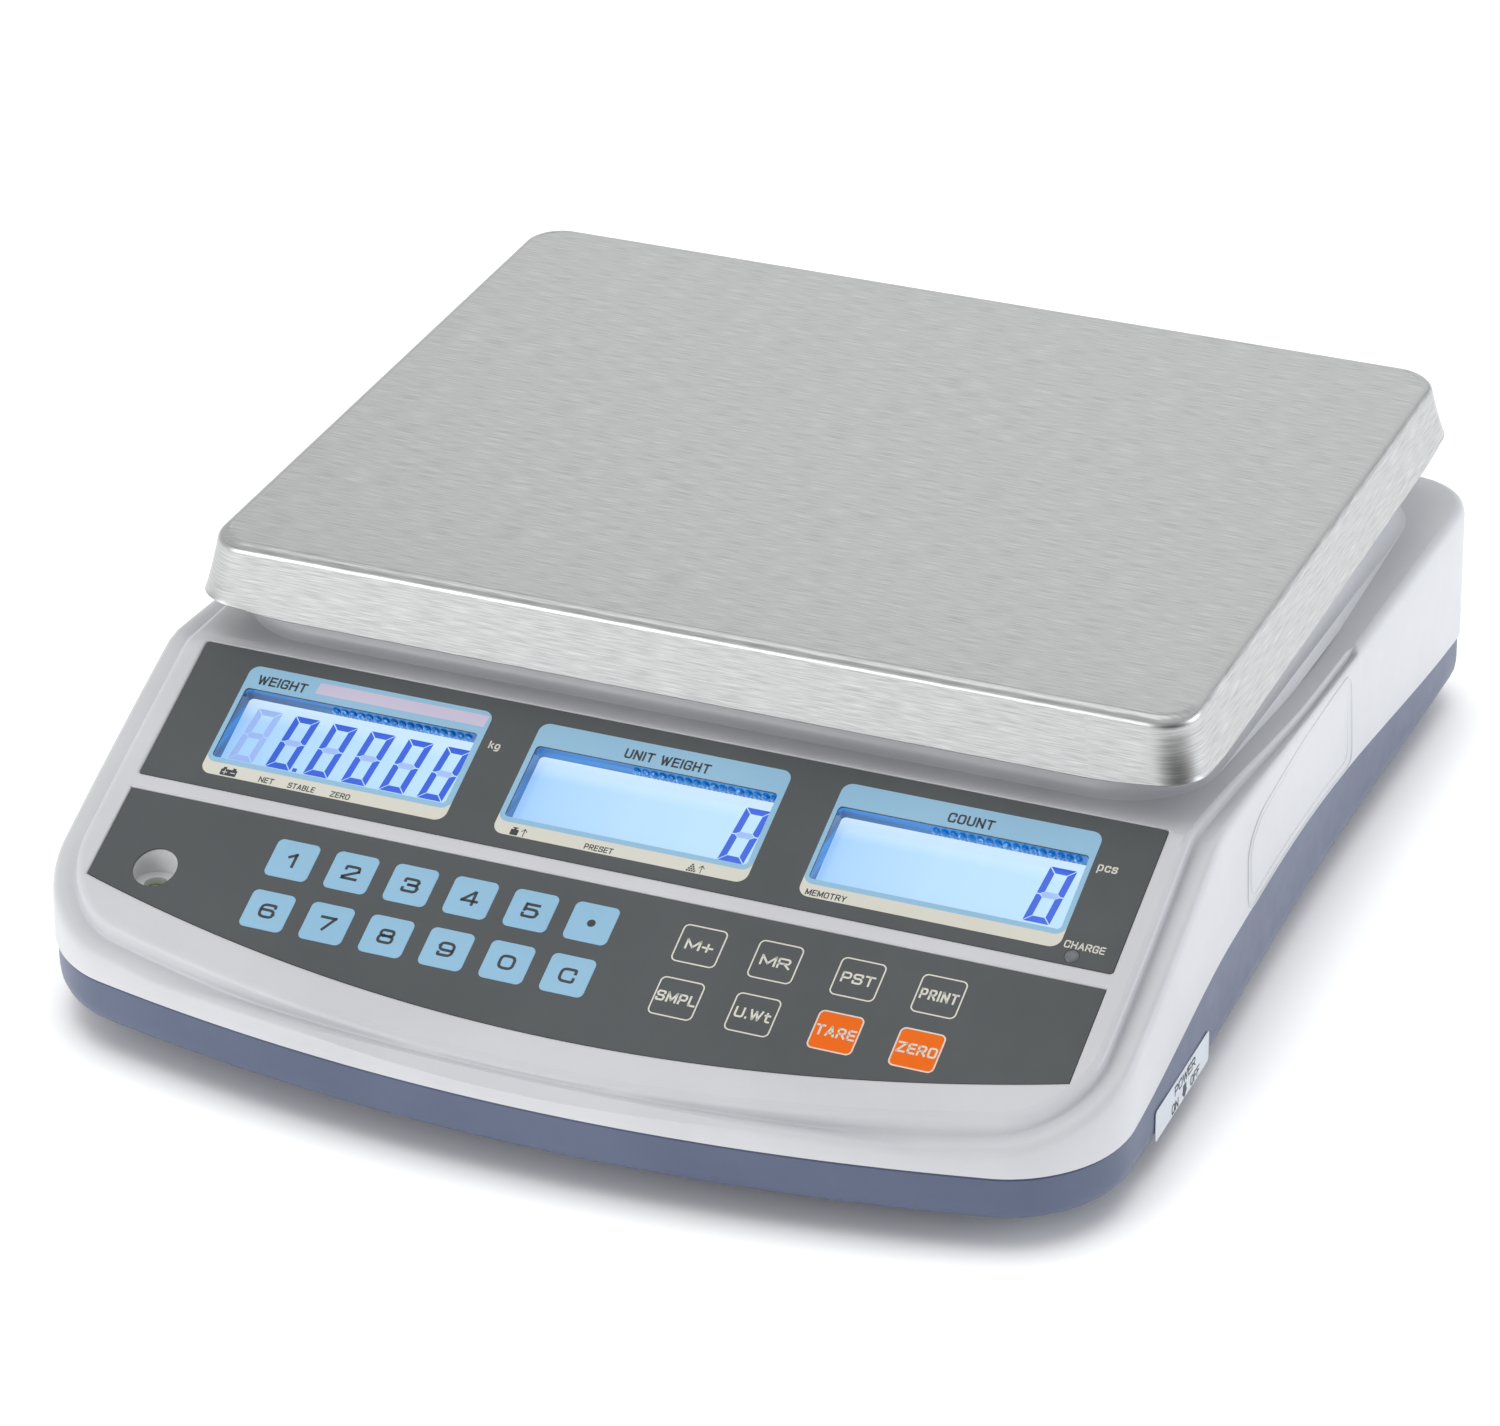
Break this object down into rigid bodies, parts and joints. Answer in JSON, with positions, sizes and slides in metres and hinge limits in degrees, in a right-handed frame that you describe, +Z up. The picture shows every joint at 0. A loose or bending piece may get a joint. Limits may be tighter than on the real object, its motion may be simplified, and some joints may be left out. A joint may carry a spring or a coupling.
{
  "type": "counting scale",
  "caption": "Bench counting scale: stainless pan over a sloping panel with three backlit displays and a membrane keypad, on four levelling feet.",
  "frame": {"origin": "on the table, under the middle of the housing", "axes": "+X to the reader's right, +Y away from the reader along the scale's length, +Z up"},
  "size_m": [0.3172, 0.355, 0.107],
  "materials": {
    "white_abs": "fine moulded satin",
    "blue_abs": "fine moulded satin",
    "graphite_film": "matt printed film",
    "key_blue": "matt printed film",
    "key_graphite": "matt printed film with a pale outline",
    "key_orange": "matt printed film",
    "lcd_glass": "backlit liquid-crystal glass",
    "circuit_board": "solder-resist green",
    "stainless": "brushed along its width",
    "aluminium": "as cast and machined",
    "zinc_plate": "zinc plated, standing in for plated steel",
    "rubber": "matt",
    "black_plastic": "satin",
    "clear_acrylic": "clear, faintly green",
    "label_film": "matt film"
  },
  "bodies": {
    "housing": {"top_cover": "white_abs", "base_tray": "blue_abs", "display_overlay": "graphite_film", "keypad_overlay": "graphite_film", "lcd_weight": "lcd_glass", "lcd_unit_weight": "lcd_glass", "lcd_count": "lcd_glass", "display_board": "circuit_board", "keypad_board": "circuit_board", "main_board": "circuit_board", "load_cell": "aluminium", "cell_mount": "zinc_plate", "overload_stop": "zinc_plate", "serial_port": "zinc_plate", "battery": "black_plastic", "power_switch": "black_plastic", "charging_jack": "black_plastic", "charge_led": "clear_acrylic", "spirit_level": "clear_acrylic", "side_label": "label_film"},
    "pan_support": {"pan_support": "aluminium", "cell_spacer": "zinc_plate", "pan_pad_1": "rubber", "pan_pad_2": "rubber", "pan_pad_3": "rubber", "pan_pad_4": "rubber"},
    "weighing_pan": {"weighing_pan": "stainless"},
    "key_1": {"key_1": "key_blue"},
    "key_2": {"key_2": "key_blue"},
    "key_3": {"key_3": "key_blue"},
    "key_4": {"key_4": "key_blue"},
    "key_5": {"key_5": "key_blue"},
    "key_point": {"key_point": "key_blue"},
    "key_6": {"key_6": "key_blue"},
    "key_7": {"key_7": "key_blue"},
    "key_8": {"key_8": "key_blue"},
    "key_9": {"key_9": "key_blue"},
    "key_0": {"key_0": "key_blue"},
    "key_clear": {"key_clear": "key_blue"},
    "key_memory_add": {"key_memory_add": "key_graphite"},
    "key_memory_recall": {"key_memory_recall": "key_graphite"},
    "key_preset": {"key_preset": "key_graphite"},
    "key_print": {"key_print": "key_graphite"},
    "key_sample": {"key_sample": "key_graphite"},
    "key_unit_weight": {"key_unit_weight": "key_graphite"},
    "key_tare": {"key_tare": "key_orange"},
    "key_zero": {"key_zero": "key_orange"},
    "power_rocker": {"power_rocker": "black_plastic"},
    "battery_door": {"battery_door": "blue_abs"},
    "foot_pad_1": {"foot_pad_1": "rubber"},
    "foot_screw_1": {"foot_screw_1": "zinc_plate"},
    "foot_pad_2": {"foot_pad_2": "rubber"},
    "foot_screw_2": {"foot_screw_2": "zinc_plate"},
    "foot_pad_3": {"foot_pad_3": "rubber"},
    "foot_screw_3": {"foot_screw_3": "zinc_plate"},
    "foot_pad_4": {"foot_pad_4": "rubber"},
    "foot_screw_4": {"foot_screw_4": "zinc_plate"}
  },
  "joints": [
    {"name": "load_deflection", "type": "slide", "parent": "housing", "child": "pan_support", "axis": [0, 0, 1], "range_m": [-0.0004, 0], "stiffness_N_per_m": 40000, "springref_m": 0.0008},
    {"name": "pan_lift", "type": "slide", "parent": "pan_support", "child": "weighing_pan", "axis": [0, 0, 1], "range_m": [0, 0.06]},
    {"name": "key_1_press", "type": "slide", "parent": "housing", "child": "key_1", "axis": [0, 0.4089, -0.9126], "range_m": [0, 0.0004], "stiffness_N_per_m": 1500, "springref_m": -0.0004},
    {"name": "key_2_press", "type": "slide", "parent": "housing", "child": "key_2", "axis": [0, 0.4089, -0.9126], "range_m": [0, 0.0004], "stiffness_N_per_m": 1500, "springref_m": -0.0004},
    {"name": "key_3_press", "type": "slide", "parent": "housing", "child": "key_3", "axis": [0, 0.4089, -0.9126], "range_m": [0, 0.0004], "stiffness_N_per_m": 1500, "springref_m": -0.0004},
    {"name": "key_4_press", "type": "slide", "parent": "housing", "child": "key_4", "axis": [0, 0.4089, -0.9126], "range_m": [0, 0.0004], "stiffness_N_per_m": 1500, "springref_m": -0.0004},
    {"name": "key_5_press", "type": "slide", "parent": "housing", "child": "key_5", "axis": [0, 0.4089, -0.9126], "range_m": [0, 0.0004], "stiffness_N_per_m": 1500, "springref_m": -0.0004},
    {"name": "key_point_press", "type": "slide", "parent": "housing", "child": "key_point", "axis": [0, 0.4089, -0.9126], "range_m": [0, 0.0004], "stiffness_N_per_m": 1500, "springref_m": -0.0004},
    {"name": "key_6_press", "type": "slide", "parent": "housing", "child": "key_6", "axis": [0, 0.4089, -0.9126], "range_m": [0, 0.0004], "stiffness_N_per_m": 1500, "springref_m": -0.0004},
    {"name": "key_7_press", "type": "slide", "parent": "housing", "child": "key_7", "axis": [0, 0.4089, -0.9126], "range_m": [0, 0.0004], "stiffness_N_per_m": 1500, "springref_m": -0.0004},
    {"name": "key_8_press", "type": "slide", "parent": "housing", "child": "key_8", "axis": [0, 0.4089, -0.9126], "range_m": [0, 0.0004], "stiffness_N_per_m": 1500, "springref_m": -0.0004},
    {"name": "key_9_press", "type": "slide", "parent": "housing", "child": "key_9", "axis": [0, 0.4089, -0.9126], "range_m": [0, 0.0004], "stiffness_N_per_m": 1500, "springref_m": -0.0004},
    {"name": "key_0_press", "type": "slide", "parent": "housing", "child": "key_0", "axis": [0, 0.4089, -0.9126], "range_m": [0, 0.0004], "stiffness_N_per_m": 1500, "springref_m": -0.0004},
    {"name": "key_clear_press", "type": "slide", "parent": "housing", "child": "key_clear", "axis": [0, 0.4089, -0.9126], "range_m": [0, 0.0004], "stiffness_N_per_m": 1500, "springref_m": -0.0004},
    {"name": "key_memory_add_press", "type": "slide", "parent": "housing", "child": "key_memory_add", "axis": [0, 0.4089, -0.9126], "range_m": [0, 0.0004], "stiffness_N_per_m": 1500, "springref_m": -0.0004},
    {"name": "key_memory_recall_press", "type": "slide", "parent": "housing", "child": "key_memory_recall", "axis": [0, 0.4089, -0.9126], "range_m": [0, 0.0004], "stiffness_N_per_m": 1500, "springref_m": -0.0004},
    {"name": "key_preset_press", "type": "slide", "parent": "housing", "child": "key_preset", "axis": [0, 0.4089, -0.9126], "range_m": [0, 0.0004], "stiffness_N_per_m": 1500, "springref_m": -0.0004},
    {"name": "key_print_press", "type": "slide", "parent": "housing", "child": "key_print", "axis": [0, 0.4089, -0.9126], "range_m": [0, 0.0004], "stiffness_N_per_m": 1500, "springref_m": -0.0004},
    {"name": "key_sample_press", "type": "slide", "parent": "housing", "child": "key_sample", "axis": [0, 0.4089, -0.9126], "range_m": [0, 0.0004], "stiffness_N_per_m": 1500, "springref_m": -0.0004},
    {"name": "key_unit_weight_press", "type": "slide", "parent": "housing", "child": "key_unit_weight", "axis": [0, 0.4089, -0.9126], "range_m": [0, 0.0004], "stiffness_N_per_m": 1500, "springref_m": -0.0004},
    {"name": "key_tare_press", "type": "slide", "parent": "housing", "child": "key_tare", "axis": [0, 0.4089, -0.9126], "range_m": [0, 0.0004], "stiffness_N_per_m": 1500, "springref_m": -0.0004},
    {"name": "key_zero_press", "type": "slide", "parent": "housing", "child": "key_zero", "axis": [0, 0.4089, -0.9126], "range_m": [0, 0.0004], "stiffness_N_per_m": 1500, "springref_m": -0.0004},
    {"name": "power_rocker_tilt", "type": "hinge", "parent": "housing", "child": "power_rocker", "pos_m": [0.134, -0.086, 0.0078], "axis": [1, 0, 0], "range_deg": [-16, 0]},
    {"name": "battery_door_slide", "type": "slide", "parent": "housing", "child": "battery_door", "axis": [0, 1, 0], "range_m": [0, 0.012]},
    {"name": "foot_1_height", "type": "slide", "parent": "housing", "child": "foot_pad_1", "axis": [0, 0, 1], "range_m": [-0.005, 0]},
    {"name": "foot_1_turn", "type": "hinge", "parent": "foot_pad_1", "child": "foot_screw_1", "pos_m": [-0.126, -0.122, 0.01], "axis": [0, 0, 1], "range_deg": [0, 1440]},
    {"name": "foot_2_height", "type": "slide", "parent": "housing", "child": "foot_pad_2", "axis": [0, 0, 1], "range_m": [-0.005, 0]},
    {"name": "foot_2_turn", "type": "hinge", "parent": "foot_pad_2", "child": "foot_screw_2", "pos_m": [0.126, -0.122, 0.01], "axis": [0, 0, 1], "range_deg": [0, 1440]},
    {"name": "foot_3_height", "type": "slide", "parent": "housing", "child": "foot_pad_3", "axis": [0, 0, 1], "range_m": [-0.005, 0]},
    {"name": "foot_3_turn", "type": "hinge", "parent": "foot_pad_3", "child": "foot_screw_3", "pos_m": [-0.126, 0.14, 0.01], "axis": [0, 0, 1], "range_deg": [0, 1440]},
    {"name": "foot_4_height", "type": "slide", "parent": "housing", "child": "foot_pad_4", "axis": [0, 0, 1], "range_m": [-0.005, 0]},
    {"name": "foot_4_turn", "type": "hinge", "parent": "foot_pad_4", "child": "foot_screw_4", "pos_m": [0.126, 0.14, 0.01], "axis": [0, 0, 1], "range_deg": [0, 1440]}
  ],
  "couplings": [
    {"joint": "foot_1_height", "follows": "foot_1_turn", "m_per_rad": -0.000198},
    {"joint": "foot_2_height", "follows": "foot_2_turn", "m_per_rad": -0.000198},
    {"joint": "foot_3_height", "follows": "foot_3_turn", "m_per_rad": -0.000198},
    {"joint": "foot_4_height", "follows": "foot_4_turn", "m_per_rad": -0.000198}
  ]
}
